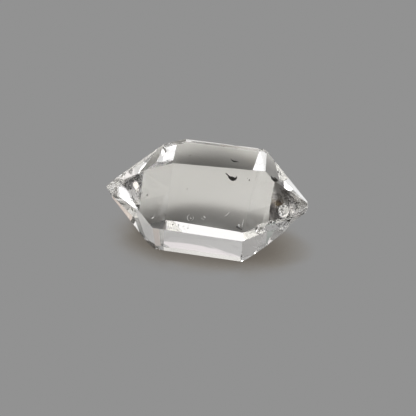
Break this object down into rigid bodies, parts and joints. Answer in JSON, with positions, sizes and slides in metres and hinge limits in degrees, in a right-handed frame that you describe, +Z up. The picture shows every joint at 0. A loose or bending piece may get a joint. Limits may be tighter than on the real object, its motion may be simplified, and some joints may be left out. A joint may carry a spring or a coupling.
{
  "type": "herkimer diamond",
  "caption": "Clear quartz crystal pointed at both ends, lying on one of its long faces, with small natural chips and pits and a broken ledge near one tip.",
  "frame": {"origin": "on the resting surface, under the middle of the crystal", "axes": "+X along the crystal's long axis towards the chisel-ended tip with the broken ledge, +Z up, and -Y towards the broad front face"},
  "size_m": [0.0142, 0.0078, 0.0065],
  "materials": {
    "clear_quartz": "glassy natural crystal faces with few pits, slightly frosted where it is broken",
    "dark_mineral": "dull, nearly black specks sealed in the quartz"
  },
  "bodies": {
    "root": {"quartz_crystal": "clear_quartz"}
  },
  "joints": []
}
